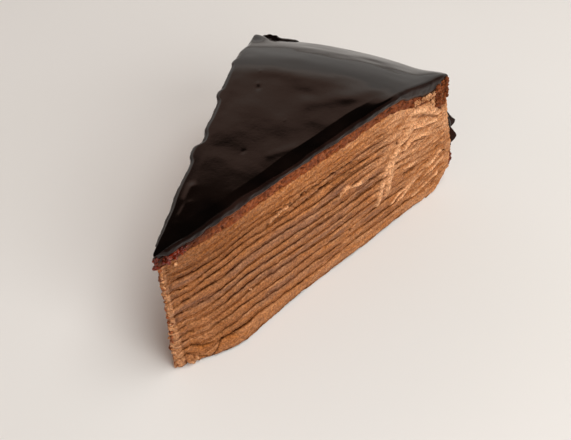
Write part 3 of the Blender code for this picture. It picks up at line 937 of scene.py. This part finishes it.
def skirt_thick(u, q, above):
    """Thickness of the glaze on the wall; above is the height share over the hem."""
    full = over_drips(u, SKIRT_THICK, lambda drip, t: SKIRT_THICK + (drip[3] - SKIRT_THICK) * (1.0 - t * t))
    lumpy = 1.0 + 0.20 * noise(u * 75.0, q * 7.0, 215)
    thick = SKIRT_THICK + (full - SKIRT_THICK) * ease((q - 0.50) / 0.40) * lumpy
    # the drips next to the corner are thin streaks that end in a bead
    rise = np.clip((above - 0.045) / 0.10, 0.0, 1.0)
    swell = 0.80 * (1.0 - ease(rise / 0.45)) + 0.20 * (1.0 - rise)
    bead = SKIRT_THICK + (full - SKIRT_THICK) * swell
    thick = np.where(u < CORNER_DRIPS, bead, thick)
    fold = (FOLD_THICK - SKIRT_THICK) * fold_lumps(u) * (1.0 - q) ** 2
    return np.maximum(thick, SKIRT_THICK + fold)


# the fold of glaze beyond the rim at the back left: place along the rim, size
FOLD_PLACES = (0.765, 0.775, 0.785, 0.80, 0.82, 0.84, 0.87, 0.885, 0.90, 0.92, 0.94, 0.96, 0.97, 0.98, 0.986)
FOLD_SIZES = (0.0, 0.10, 0.27, 0.36, 0.38, 0.42, 0.43, 0.49, 0.66, 0.73, 0.77, 0.71, 0.55, 0.20, 0.0)
CORNER_DRIPS = 0.138        # the drips up to this place along the rim end in small beads


def fold_lumps(u):
    """The fold of glaze beyond the rim: highest near the left corner, lumpy, fading out."""
    return np.interp(u, FOLD_PLACES, FOLD_SIZES) * (1.0 + 0.10 * noise(u * 60.0, 0 * u, 214))


def off_corner(u, s):
    """High up, the glaze on the wall starts a little round the corner, not at the cut."""
    return np.where(u < 0.06, 0.024 * (1.0 - u / 0.06), 0.0) * ease((s - 0.68) / 0.08) * ease((0.998 - s) / 0.02)


GLAZE_COLUMNS = 200
TOP_ROWS = 170
SKIRT_ROWS = 54
EDGE_ROWS = 12


# small features of the top: plan position from the point, radius, height
TOP_MARKS = (
    ((-11.6, 75.3), 0.9, -0.07), ((-12.9, 77.2), 0.7, 0.04), ((0.0, 47.3), 0.7, -0.07),
    ((-15.6, 83.0), 0.35, 0.08), ((4.0, 66.0), 0.35, 0.06), ((-9.0, 90.0), 0.3, 0.07),
    ((-2.2, 21.5), 1.6, 0.10), ((-1.0, 13.5), 1.2, 0.08),
)
# long soft ridges of the top: two ends in plan, half width, height
TOP_WAVES = (
    ((6.0, 77.0), (16.0, 85.0), 3.2, 0.10), ((16.0, 85.0), (25.0, 97.5), 2.8, 0.09),
    ((-14.0, 88.0), (2.0, 86.0), 4.0, 0.09), ((-21.0, 93.5), (-8.0, 97.0), 2.6, 0.08),
    ((-9.0, 66.0), (4.0, 63.0), 4.5, 0.06), ((8.0, 50.0), (12.5, 56.0), 1.6, 0.05),
    ((-6.0, 40.0), (6.0, 43.0), 4.0, 0.05), ((-5.6, 27.0), (-4.4, 22.0), 1.4, 0.20),
    ((-2.8, 20.5), (-2.0, 16.0), 1.2, 0.16),
)
# lumps and nicks along the left cut edge: distance from the point, length, how far out
LEFT_LIP = (
    (42.5, 3.6, 1.5), (48.5, 3.4, -1.0), (70.0, 2.2, 1.1), (62.0, 6.0, -0.5), (96.5, 1.6, 0.25),
    (88.5, 1.8, 0.6), (26.0, 6.0, 0.5), (104.0, 3.0, -0.4),
)
RIGHT_LIP = ((14.0, 5.0, 0.5), (33.0, 4.0, -0.4), (52.0, 6.0, 0.4), (78.0, 5.0, -0.3), (96.0, 4.0, 0.4))


def lip_out(c, side):
    """How far the cut edge of the glaze stands out along its length."""
    total = 0.14 * layered_noise(c / 4.0, 0 * c + side, 221)
    for place, length, out in (RIGHT_LIP if side > 0 else LEFT_LIP):
        total = total + out * np.exp(-((c - place) / length) ** 4)
    return total


def glaze_top_height(x, y, u, v):
    """Top of the glaze: slow undulation, small bubbles, and edges that round over."""
    z = height_at(x, y, 1.0)
    slow = 0.15 * noise(x / 21.0, y / 16.0, 201) + 0.04 * noise(x / 8.0, y / 6.5, 203)
    slow = slow + 0.012 * noise(x / 3.1, y / 2.6, 205)
    for (x0, y0), (x1, y1), half, high in TOP_WAVES:
        away = distance_to(x, y, (x0, y0), (x1, y1)) / half
        slow = slow + high * np.exp(-away * away)
    r = np.hypot(x - CENTRE_X, y - CENTRE_Y)
    streaks = 0.05 * noise(u * 9.0, r / 3.4, 207) * ease((r - 76.0) / 16.0)
    streaks = streaks + 0.08 * noise(u * 4.0 + 3.0, r / 6.5, 208) * ease((r - 62.0) / 20.0)
    streaks = streaks + 0.10 * noise(u * 6.0 - 2.0, r / 3.0, 206) * ease((r - 96.0) / 10.0)
    wide = np.hypot(x, y) * 2.0 * math.tan(HALF_ANGLE)
    across = np.minimum(u, 1.0 - u) * wide
    lip = -0.25 * np.clip(1.0 - across / 0.8, 0.0, 1.0) ** 2
    bevel_start = 4.2 + 1.0 * noise(y / 13.0, 0 * y, 209)
    bevel = -0.11 * np.maximum(bevel_start - u * wide, 0.0) * (1.0 - ease((np.hypot(x, y) - 78.0) / 24.0))
    small = 0.0 * x
    for place, radius, high in TOP_MARKS:
        small = small + high * np.exp(-((x - place[0]) ** 2 + (y - place[1]) ** 2) / radius ** 2)
    away = np.hypot(x - LEFT_X, y - LEFT_Y) / 4.5
    flap = 2.3 * np.exp(-away * away)
    return z + (slow + streaks) * ease(across / 4.0) + lip + bevel - 0.15 + small + flap


def build_glaze():
    """The poured glaze as one closed piece: top, shoulder, drips, cut edges, underside."""
    top_edge = wall_radius(SPONGE_TOP) + GAP
    u = np.linspace(0.0, 1.0, GLAZE_COLUMNS + 1)[None, :]
    # a finer division near the two cut edges
    u = u - 0.12 * np.sin(2.0 * math.pi * u) / (2.0 * math.pi) * 2.0
    v = np.linspace(0.0, 1.0, TOP_ROWS + 1)[:, None]
    x, y = plan_point(u, v, 1.0, top_edge)
    z = glaze_top_height(x, y, u, v)
    # the edges wander in and out of the line of the cut
    reach = np.hypot(x, y)
    for side, edge_u in ((1, u), (-1, 1.0 - u)):
        near = ease(1.0 - edge_u * reach * 2.0 * math.tan(HALF_ANGLE) / 3.0) * ease(reach / 9.0 - 0.5)
        out = lip_out(reach, side) * near
        x = x + out * RIGHT_Y * side
        y = y - out * RIGHT_X
    over = np.stack([x, y, z], -1)
    q = 1.0 - (1.0 - np.linspace(0.0, 1.0, SKIRT_ROWS + 1)[1:, None]) ** 1.4
    end = skirt_end(u)
    drop = (1.0 - SKIRT_END) * (q - 0.10 * np.sin(math.pi * q))
    s_out = 1.0 - drop - (SKIRT_END - end) * np.clip((q - 0.20) / 0.80, 0.0, 1.0) ** 1.3
    thick = skirt_thick(u, q, s_out - end)
    closing = np.where(u < CORNER_DRIPS, 1.0 - (s_out - end) / 0.035, (q - 0.88) / 0.12)
    tail = np.sqrt(1.0 - np.clip(closing, 0.0, 1.0) ** 2)
    thin = (thick - 0.55 * SKIRT_THICK) * ease((u + 0.004) / 0.012)
    full = thin * np.where(closing > 0.0, 0.10 + 0.90 * tail, 1.0) * ease(q / 0.10)
    ripple = 0.10 * noise(u * 30.0, q * 3.0, 211) * ease(q / 0.2)
    place = skirt_place(u, s_out) + off_corner(u, s_out)
    x, y = wall_point(place, s_out, wall_radius(s_out))
    z = height_at(x, y, s_out) + 1.5 * FOLD_RISE * fold_lumps(u) * (1.0 - q) ** 3 * ease(q / 0.08)
    x, y = wall_point(place, s_out, wall_radius(s_out) + np.maximum(full + ripple, 0.05))
    over = np.concatenate([over, np.stack([x, y, z], -1)])
    x, y = plan_point(u, v, GLAZE_UNDER, top_edge)
    under_top = np.stack([x, y, height_at(x, y, GLAZE_UNDER)], -1)
    s_in = GLAZE_UNDER + (s_out - 1.0) * (end - GLAZE_UNDER) / (end - 1.0)
    x, y = wall_point(skirt_place(u, s_in) + off_corner(u, s_in), s_in, wall_radius(s_in) - 0.40)
    under = np.concatenate([under_top, np.stack([x, y, height_at(x, y, s_in)], -1)])
    rows, columns = over.shape[:2]
    count = rows * columns
    index = np.arange(count).reshape(rows, columns)
    a = index[:-1, :-1].ravel()
    b = index[:-1, 1:].ravel()
    d = index[1:, 1:].ravel()
    e = index[1:, :-1].ravel()
    faces = list(map(tuple, np.stack([a, e, d, b], -1).tolist()))
    row_of = np.repeat(np.arange(rows - 1), columns - 1)
    place_of = np.tile(u[0, 1:], rows - 1)
    thin = (row_of > TOP_ROWS + 4) & ((place_of < 0.15) | (place_of > 0.985))
    points = [over.reshape(-1, 3)]
    total = count
    # underside: coarse across the top, fine along the drips
    under_rows = []
    for i in range(rows):
        if i <= TOP_ROWS - 2:
            pick = np.linspace(0, columns - 1, 9).astype(int)
        else:
            pick = np.arange(columns)
        points.append(under[i][pick])
        under_rows.append(list(range(total, total + len(pick))))
        total += len(pick)
    for low, high in zip(under_rows, under_rows[1:]):
        zip_rows(faces, low, high, False)
    # the cut edges: a bulging wall whose lower lip hangs a little over the sponge
    first_cut = len(faces)
    tails = {}
    for column, side in ((0, 1), (columns - 1, -1)):
        previous = index[:, column].tolist()
        top_line = over[:, column]
        low_line = under[:, column]
        on_top = ease((TOP_ROWS - 1 - np.arange(rows)) / 6.0)
        starts = []
        for k in range(1, EDGE_ROWS):
            t = k / (EDGE_ROWS - 1)
            line = top_line * (1.0 - t) + low_line * t
            c = np.hypot(line[:, 0], line[:, 1])
            rough = layered_noise(c / 2.6, 0 * c + t * 1.6, 225 + side)
            full = min(t / 0.14, 1.0) * (1.0 - max(t - 0.62, 0.0) / 0.38) ** 0.6
            bulge = (0.75 * full + 0.30 * rough * min(t / 0.2, 1.0)) * (0.3 + 0.7 * on_top)
            hang = t * (1.05 + 0.55 * noise(c / 3.1, 0 * c, 231 + side)) * on_top
            line = line + np.stack([bulge * RIGHT_Y * side, -bulge * RIGHT_X, -hang], -1)
            points.append(line)
            ring = list(range(total, total + rows))
            starts.append(ring)
            total += rows
            zip_rows(faces, previous, ring, side == -1)
            previous = ring
        last = [row[0 if side == 1 else -1] for row in under_rows]
        zip_rows(faces, previous, last, side == -1)
        tails[side] = starts
    # the point and the hem are closed between the four borders
    right_low = [ring[0] for ring in tails[1]]
    left_low = [ring[0] for ring in tails[-1]]
    right_tail = [ring[-1] for ring in tails[1]]
    left_tail = [ring[-1] for ring in tails[-1]]
    zip_rows(faces, [*right_low, *under_rows[0], *left_low[::-1]], index[0].tolist(), False)
    zip_rows(faces, index[-1].tolist(), [*right_tail, *under_rows[-1], *left_tail[::-1]], False)
    piece = add_piece("glaze_coat", np.concatenate(points), faces, GLAZE, ["glaze"])
    piece.data.materials.append(GLAZE_CUT)
    piece.data.materials.append(GLAZE_THIN)
    choice = np.zeros(len(faces), np.int32)
    choice[first_cut:] = 1
    choice[:len(thin)] = 2 * thin
    piece.data.polygons.foreach_set("material_index", choice)


build_glaze()


# ---------------------------------------------------------------- crumbs
def ball(rings=9, sectors=12):
    """Points and faces of a unit ball."""
    points = [(0.0, 0.0, 1.0)]
    for i in range(1, rings):
        polar = math.pi * i / rings
        for j in range(sectors):
            turn = 2.0 * math.pi * j / sectors
            points.append((math.sin(polar) * math.cos(turn), math.sin(polar) * math.sin(turn), math.cos(polar)))
    points.append((0.0, 0.0, -1.0))
    faces = []
    last = len(points) - 1
    for j in range(sectors):
        k = (j + 1) % sectors
        faces.append((0, 1 + j, 1 + k))
        faces.append((last, last - sectors + k, last - sectors + j))
        for i in range(rings - 2):
            a = 1 + i * sectors
            faces.append((a + j, a + sectors + j, a + sectors + k, a + k))
    return np.array(points), faces


BALL, BALL_FACES = ball()


def crumb_cluster(name, spots, material, seed, rough=0.55, tones=(0.05, 0.35, 0.5)):
    """One piece made of many little uneven crumbs: centres and radii in millimetres."""
    rng = np.random.default_rng(seed)
    points = []
    faces = []
    colours = []
    for number, (x, y, z, radius) in enumerate(spots):
        first = len(points) * len(BALL)
        shift = number * 3.3
        bump = rough * layered_noise(BALL[:, 0] * 1.3 + shift, BALL[:, 1] * 1.3 + BALL[:, 2] * 1.9, seed)
        bump = bump + 0.5 * rough * noise(BALL[:, 2] * 3.1 + shift, BALL[:, 0] * 2.7 - BALL[:, 1] * 2.3, seed + 3)
        shape = BALL * rng.uniform(0.60, 1.35, 3) * (1.0 + bump)[:, None]
        turn = rng.uniform(0.0, 2.0 * math.pi)
        tip = rng.uniform(-0.8, 0.8)
        high = shape[:, 2] * math.cos(tip) + shape[:, 0] * math.sin(tip)
        wide = shape[:, 0] * math.cos(tip) - shape[:, 2] * math.sin(tip)
        spun = np.stack([wide * math.cos(turn) - shape[:, 1] * math.sin(turn),
                         wide * math.sin(turn) + shape[:, 1] * math.cos(turn), high], -1)
        placed = np.array([x, y, z]) + spun * radius
        placed[:, 2] = np.maximum(placed[:, 2], 0.02)
        points.append(placed)
        faces.extend(tuple(first + k for k in face) for face in BALL_FACES)
        dark, light, warm = tones
        shade = np.array([dark + rng.uniform(-0.05, 0.30), light + rng.uniform(-0.30, 0.35), warm, 0.0])
        mottle = 0.25 * layered_noise(placed[:, 0] * 1.9, placed[:, 2] * 2.3, seed + 7)
        # painted shade in the hollows of each crumb
        hollow_shade = np.maximum(-bump - 0.12, 0.0)
        tint = np.stack([0.4 * mottle + 1.2 * hollow_shade, mottle - hollow_shade, 0.0 * mottle, 0.0 * mottle], -1)
        colours.append(np.clip(shade + tint, 0.0, 1.0))
    return add_piece(name, np.concatenate(points), faces, material, [], np.concatenate(colours))


def on_cut_face(c, z, side, out):
    """Plan position and height of a spot on a cut face, standing out by the given amount."""
    v = c / 125.0
    s = z / HEIGHT
    u = 0.0 if side > 0 else 1.0
    for _ in range(12):
        x, y = plan_point(u, v, s, wall_radius(s))
        v = min(v * c / max(float(np.hypot(x, y)), 0.1), 1.0)
        s = s * z / max(float(height_at(x, y, s)), 0.1)
    return float(x) + out * RIGHT_Y * side, float(y) - out * RIGHT_X, z


def build_crumbs():
    rng = np.random.default_rng(5)
    # wet red-brown crumbs clinging under the glaze at the point
    spots = []
    for _ in range(46):
        c = 2.6 + 8.5 * rng.uniform(0.0, 1.0) ** 1.3
        x, y, z = on_cut_face(c, rng.uniform(51.6 + 0.14 * c, 55.6), 1, rng.uniform(-0.2, 0.45))
        spots.append((x, y, z, rng.uniform(0.25, 0.70)))
    for _ in range(30):
        x, y = nose_point(rng.uniform(0.0, 1.0), 0.9)
        spots.append((float(x), float(y) - rng.uniform(-0.7, 0.4), rng.uniform(52.8, 57.0), rng.uniform(0.25, 0.75)))
    crumb_cluster("tip_wet_crumbs", spots, WET, 31, 0.75, (0.15, 0.20, 0.5))
    x, y, z = on_cut_face(6.4, 50.6, 1, 0.35)
    crumb_cluster("tip_pale_crumb", [(x, y, z, 0.6), (x + 0.4, y + 0.4, z - 0.4, 0.4)], CREAM, 37,
                  tones=(0.0, 0.55, 0.5))
    # the point itself is a strip of loose cream and crumb
    spots = []
    reddish = []
    for _ in range(190):
        place = rng.uniform(0.30, 1.0)
        z = rng.uniform(0.5, 52.0)
        x, y = plan_point(place, 0.0, z / HEIGHT, 100.0)
        bulge = float(foot_spread(3.0, z))
        spot = (float(x), float(y) + rng.uniform(-0.30, 0.20) - bulge, z, rng.uniform(0.30, 0.65))
        (spots if rng.uniform(0.0, 1.0) < 0.60 else reddish).append(spot)
    for _ in range(26):
        z = rng.uniform(7.5, 13.5)
        x, y = plan_point(rng.uniform(0.60, 1.0), 0.0, z / HEIGHT, 100.0)
        bulge = 0.5 + 0.9 * math.exp(-((z - 9.5) / 2.4) ** 2)
        reddish.append((float(x) - 0.55 * bulge, float(y) - bulge, z, rng.uniform(0.35, 0.75)))
    # the strip's crumbs get a light tone: partly pale loose cream and partly painted light, where the lamps light the
    # strip less
    crumb_cluster("tip_strip_crumbs", spots, CREAM, 32, tones=(0.0, 0.60, 0.8))
    crumb_cluster("tip_strip_bits", reddish, SPONGE, 38, tones=(0.0, 0.45, 0.6))
    # the heap at the foot of the point
    spots = []
    for _ in range(34):
        c = rng.uniform(2.5, 7.5)
        z = rng.uniform(0.6, 5.2 - 0.40 * c)
        x, y, z = on_cut_face(c, z, 1, rng.uniform(0.0, 0.8) + float(foot_spread(c, z)))
        spots.append((x, y, z, rng.uniform(0.4, 1.0)))
    for _ in range(16):
        x, y = nose_point(rng.uniform(0.0, 1.0), 0.05)
        spots.append((float(x), float(y) - rng.uniform(-0.2, 0.7), rng.uniform(0.5, 4.2), rng.uniform(0.5, 1.1)))
    crumb_cluster("foot_crumbs", spots, CREAM, 33, tones=(0.0, 0.55, 0.8))
    # red-brown crumb dragged along both outer corners, up to the top of the glaze
    for side, name, seed in ((1, "corner_crumbs_right", 34), (-1, "corner_crumbs_left", 35)):
        spots = []
        ceiling = 51.4 if side > 0 else 46.0
        for _ in range(150):
            high = rng.uniform(0.0, 1.0)
            z = 40.5 + (ceiling - 40.5) * high
            c = 126.5 - rng.uniform(0.0, 1.0) * (4.5 + 2.2 * high)
            out = rng.uniform(-0.30, 0.30) + (0.55 if z > 48.0 else 0.0)
            x, y, z = on_cut_face(c, z, side, out)
            spots.append((x, y, z, rng.uniform(0.30, 0.75)))
        for number in range(160 if side > 0 else 0):
            z = rng.uniform(43.0, ceiling)
            s = z / float(height_at(CORNER_X, CORNER_Y, 1.0))
            place = rng.uniform(-0.002, 0.024) if number < 80 else rng.uniform(-0.003, 0.003)
            out = rng.uniform(-1.0, -0.45) if z > 46.0 else rng.uniform(-0.9, -0.4)
            aside = 0.0 if number < 80 else rng.uniform(-0.1, 0.4)
            x, y = wall_point(place, s, wall_radius(s) + out)
            spots.append((float(x) + aside * RIGHT_Y, float(y) - aside * RIGHT_X, z, rng.uniform(0.30, 0.65)))
        crumb_cluster(name, spots, SPONGE, seed, tones=(0.20, 0.22, 0.5))
    spots = []
    for _ in range(40):
        s = rng.uniform(0.20, 0.33)
        x, y = wall_point(rng.uniform(-0.001, 0.016), s, wall_radius(s) + rng.uniform(-0.3, 0.10))
        spots.append((float(x), float(y), float(height_at(x, y, s)), rng.uniform(0.3, 0.7)))
    crumb_cluster("corner_low_bits", spots, WET, 40, tones=(0.20, 0.30, 0.5))
    spots = []
    for _ in range(34):
        along = rng.uniform(0.0, 1.0)
        x, y, z = on_cut_face(109.5 + 10.5 * along, 49.3 - 1.2 * along + rng.uniform(-0.7, 0.7), 1,
                              rng.uniform(-0.1, 0.35))
        spots.append((x, y, z, rng.uniform(0.35, 0.85)))
    for _ in range(16):
        along = rng.uniform(0.0, 1.0)
        x, y, z = on_cut_face(120.4 - 2.4 * along, 48.4 - 7.0 * along, 1, rng.uniform(0.0, 0.5))
        spots.append((x, y, z, rng.uniform(0.30, 0.65)))
    crumb_cluster("corner_flaps", spots, CREAM, 39, tones=(0.0, 0.60, 0.3))
    # pale specks of cream on the faces
    spots = []
    for c, z in ((29.8, 20.8), (30.4, 20.2), (64.6, 28.1), (67.5, 19.8), (37.0, 12.5), (83.0, 36.0)):
        spots.append((*on_cut_face(c, z, 1, 0.15), rng.uniform(0.28, 0.48)))
    for _ in range(9):
        spots.append((*on_cut_face(rng.uniform(15.0, 110.0), rng.uniform(6.0, 44.0), -1, 0.2), rng.uniform(0.3, 0.6)))
    crumb_cluster("pale_specks", spots, CREAM, 36, tones=(0.0, 0.9, 0.2))


build_crumbs()


# ---------------------------------------------------------------- floor, light, camera
def build_floor():
    size = 3.0
    mesh = bpy.data.meshes.new("floor")
    corners = [(-size, -size, 0), (size, -size, 0), (size, size, 0), (-size, size, 0)]
    mesh.from_pydata([(x, y, -0.0002) for x, y, _ in corners], [], [(0, 1, 2, 3)])
    mesh.update()
    material, tree, shader = new_material("floor_pale")
    mottled = noise_node(tree, 6.0, 2.0)
    colour = mix_colour(tree, ramp(tree, mottled, 0.3, 0.7), (0.78, 0.78, 0.76), (0.80, 0.80, 0.785))
    tree.links.new(colour, shader.inputs["Base Color"])
    shader.inputs["Roughness"].default_value = 0.6
    mesh.materials.append(material)
    floor = bpy.data.objects.new("floor", mesh)
    bpy.context.scene.collection.objects.link(floor)


# brightness of the room by the height of the direction: bright low down, dark overhead
ROOM = (
    (0.00, (0.70, 0.66, 0.62)),
    (0.45, (0.76, 0.69, 0.64)),
    (0.50, (1.15, 0.98, 0.88)),
    (0.56, (0.84, 0.67, 0.58)),
    (0.61, (0.74, 0.53, 0.44)),
    (0.65, (0.66, 0.41, 0.32)),
    (0.690, (0.58, 0.33, 0.26)),
    (0.697, (0.16, 0.10, 0.075)),
    (0.707, (0.14, 0.085, 0.065)),
    (0.715, (0.004, 0.004, 0.004)),
    (1.00, (0.004, 0.004, 0.004)),
)
DIM_SIDE = (0.94, -0.20, 0.28)     # the room is dimmer towards this side


def build_world():
    """A room that is bright low down, dark overhead and dimmer on the right."""
    world = bpy.data.worlds.new("studio")
    bpy.context.scene.world = world
    world.use_nodes = True
    tree = world.node_tree
    background = tree.nodes["Background"]
    place = tree.nodes.new("ShaderNodeTexCoord")
    split = tree.nodes.new("ShaderNodeSeparateXYZ")
    tree.links.new(place.outputs["Generated"], split.inputs["Vector"])
    band = tree.nodes.new("ShaderNodeValToRGB")
    band.color_ramp.elements[0].color = (*ROOM[0][1], 1.0)
    band.color_ramp.elements[1].color = (*ROOM[-1][1], 1.0)
    for height, colour in ROOM[1:-1]:
        stop = band.color_ramp.elements.new(height)
        stop.color = (*colour, 1.0)
    tree.links.new(split.outputs["Z"], band.inputs["Fac"])
    side = tree.nodes.new("ShaderNodeVectorMath")
    side.operation = "DOT_PRODUCT"
    side.inputs[1].default_value = DIM_SIDE
    tree.links.new(place.outputs["Generated"], side.inputs[0])
    dimmed = ramp(tree, side.outputs["Value"], 0.05, 0.75)
    shade = mix_colour(tree, dimmed, (1.0, 1.0, 1.0), (0.22, 0.20, 0.19))
    colour = mix_colour(tree, 1.0, band.outputs["Color"], shade, "MULTIPLY")
    tree.links.new(colour, background.inputs["Color"])


def build_lamp(name, place, size, energy, colour=(1.0, 1.0, 1.0)):
    """A broad soft disk lamp turned to the slice; the gloss of the glaze does not show it."""
    lamp_data = bpy.data.lights.new(name, "AREA")
    lamp_data.shape = "DISK"
    lamp_data.size = size
    lamp_data.energy = energy
    lamp_data.color = colour
    lamp = bpy.data.objects.new(name, lamp_data)
    lamp.location = place
    lamp.rotation_euler = Vector(place).to_track_quat("Z", "Y").to_euler()
    lamp.visible_glossy = False
    bpy.context.scene.collection.objects.link(lamp)


def build_light():
    build_world()
    build_lamp("overhead", (0.30, 0.12, 1.00), 0.6, 6.0, (1.0, 0.98, 0.95))
    build_lamp("side_fill", (0.85, -0.30, 0.62), 0.8, 7.0, (1.0, 0.985, 0.96))


def build_camera():
    """The viewpoint: to the right of the point and above, looking at the right cut face."""
    place = Vector((0.0984415, -0.1642335, 0.2309723))
    right = Vector((0.86644695, 0.49920507, -0.00799897))
    up = Vector((-0.37281228, 0.65756327, 0.65469195))
    back = right.cross(up)
    camera_data = bpy.data.cameras.new("camera")
    camera_data.sensor_width = 36.0
    camera_data.lens = 36.0 * 800.0 / 571.0
    camera = bpy.data.objects.new("camera", camera_data)
    camera.matrix_world = Matrix.Translation(place) @ Matrix((right, up, back)).transposed().to_4x4()
    bpy.context.scene.collection.objects.link(camera)
    bpy.context.scene.camera = camera


build_floor()
build_light()
build_camera()
bpy.context.scene.view_settings.view_transform = "Standard"
bpy.context.scene.view_settings.look = "None"
